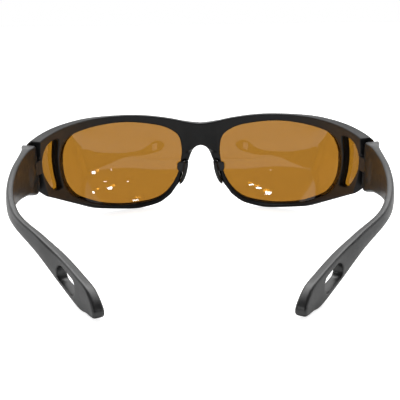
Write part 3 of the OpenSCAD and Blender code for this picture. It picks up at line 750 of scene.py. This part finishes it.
# How much whiter the table is for the camera, through a lens and off a gloss
FLOOR_LIFT, LENS_LIFT, GLOSS_LIFT = 0.8, 0.13, 0.12
# The dim room behind the camera, the height of the sheet's edge there, and where ahead it is all white
ROOM, WALL_TOP, WALL_BLUR, ALL_WHITE_Y = 0.07, 0.144, 0.004, 0.45


def math_node(tree, kind, a, b):
    """Result of a Math node on two values, each a number or the socket of another node."""
    node = tree.nodes.new("ShaderNodeMath")
    node.operation = kind
    for socket, v in zip(node.inputs, (a, b)):
        if isinstance(v, (int, float)):
            socket.default_value = v
        else:
            tree.links.new(v, socket)
    return node.outputs[0]


def stage_floor():
    mesh = bpy.data.meshes.new("table_top")
    s = TABLE_HALF
    mesh.from_pydata([(-s, -s, 0), (s, -s, 0), (s, s, 0), (-s, s, 0)], [], [(0, 1, 2, 3)])
    obj = bpy.data.objects.new("table_top", mesh)
    obj.location.z = TABLE_Z
    bpy.context.scene.collection.objects.link(obj)
    mat, tree, bsdf = shader("white_table", (0.86, 0.865, 0.865), 0.7)
    mesh.materials.append(mat)
    # Rays from the camera see the sheet whiter, and those through a lens or off a gloss a little whiter
    rays = tree.nodes.new("ShaderNodeLightPath")
    direct = math_node(tree, "MULTIPLY", rays.outputs["Is Camera Ray"], FLOOR_LIFT)
    through = math_node(tree, "MULTIPLY", rays.outputs["Is Transmission Ray"], LENS_LIFT)
    mirrored = math_node(tree, "MULTIPLY", rays.outputs["Is Glossy Ray"], GLOSS_LIFT)
    lift = math_node(tree, "ADD", math_node(tree, "ADD", direct, through), mirrored)
    bsdf.inputs["Emission Color"].default_value = (1, 1, 1, 1)
    tree.links.new(lift, bsdf.inputs["Emission Strength"])


def world_light():
    """A white sheet all round, up to a low edge behind the camera, and a dim room above that edge."""
    world = bpy.data.worlds.new("studio")
    bpy.context.scene.world = world
    world.use_nodes = True
    tree = world.node_tree
    tree.nodes.clear()

    def ramp(value, lo, hi, to_lo, to_hi):
        node = tree.nodes.new("ShaderNodeMapRange")
        node.interpolation_type = "SMOOTHSTEP"
        for key, v in (("From Min", lo), ("From Max", hi), ("To Min", to_lo), ("To Max", to_hi)):
            node.inputs[key].default_value = v
        tree.links.new(value, node.inputs["Value"])
        return node.outputs["Result"]

    place = tree.nodes.new("ShaderNodeTexCoord")
    split = tree.nodes.new("ShaderNodeSeparateXYZ")
    tree.links.new(place.outputs["Generated"], split.inputs["Vector"])
    ahead = ramp(split.outputs["Y"], 0.0, ALL_WHITE_Y, ROOM, 1.0)
    sheet = ramp(split.outputs["Z"], WALL_TOP - WALL_BLUR, WALL_TOP + WALL_BLUR, 1.0, 0.0)
    strength = math_node(tree, "MAXIMUM", ahead, sheet)
    rays = tree.nodes.new("ShaderNodeLightPath")
    seen = math_node(tree, "ADD", rays.outputs["Is Camera Ray"], rays.outputs["Is Transmission Ray"])
    strength = math_node(tree, "MAXIMUM", strength, seen)
    back = tree.nodes.new("ShaderNodeBackground")
    back.inputs["Color"].default_value = (1, 1, 1, 1)
    tree.links.new(strength, back.inputs["Strength"])
    out = tree.nodes.new("ShaderNodeOutputWorld")
    tree.links.new(back.outputs["Background"], out.inputs["Surface"])


def area_lamp(name, at, toward, size, power):
    data = bpy.data.lights.new(name, "AREA")
    data.shape = "RECTANGLE"
    data.size, data.size_y = size
    data.energy = power
    obj = bpy.data.objects.new(name, data)
    obj.location = at
    obj.rotation_euler = (Vector(toward) - Vector(at)).to_track_quat("-Z", "Y").to_euler()
    bpy.context.scene.collection.objects.link(obj)


# Small lamps of the room, by azimuth from behind the camera, height angle, width, height and brightness
ROOM_LAMPS = [
    (75.5, 9.3, 0.13, 0.09, 30), (60.2, 9.2, 0.05, 0.06, 10), (67.4, 22.1, 0.18, 0.07, 40),
    (69.1, 17.0, 0.12, 0.03, 14), (83.9, 21.7, 0.09, 0.06, 40), (50.0, 19.1, 0.05, 0.04, 16),
    (50.4, 34.3, 0.2, 0.05, 24), (-33.5, 23.1, 0.14, 0.05, 40), (-40.3, 25.7, 0.16, 0.07, 40),
    (-50.1, 29.5, 0.2, 0.1, 45), (-46.2, 11.2, 0.03, 0.03, 8)]
LAMP_AWAY = 2.5
AIM_Y, AIM_Z = 0.06, 0.02


def room_lamps():
    for i, (turn, height, wide, tall, bright) in enumerate(ROOM_LAMPS):
        a, e = math.radians(turn), math.radians(height)
        at = (LAMP_AWAY * math.sin(a) * math.cos(e), AIM_Y - LAMP_AWAY * math.cos(a) * math.cos(e),
              AIM_Z + LAMP_AWAY * math.sin(e))
        area_lamp("room_lamp_%d" % i, at, (0, AIM_Y, AIM_Z), (wide, tall), bright * wide * tall * math.pi)


stage_floor()
world_light()
room_lamps()
area_lamp("overhead", (0.0, 0.5, 1.5), (0, 0, 0), (1.6, 1.0), 16)
area_lamp("side_window", (-1.6, 0.5, 0.35), (0, 0, 0.02), (1.3, 1.3), 5)
area_lamp("side_wall", (1.6, 0.5, 0.35), (0, 0, 0.02), (1.3, 1.3), 2.5)

scene = bpy.context.scene
scene.view_settings.view_transform = "Standard"
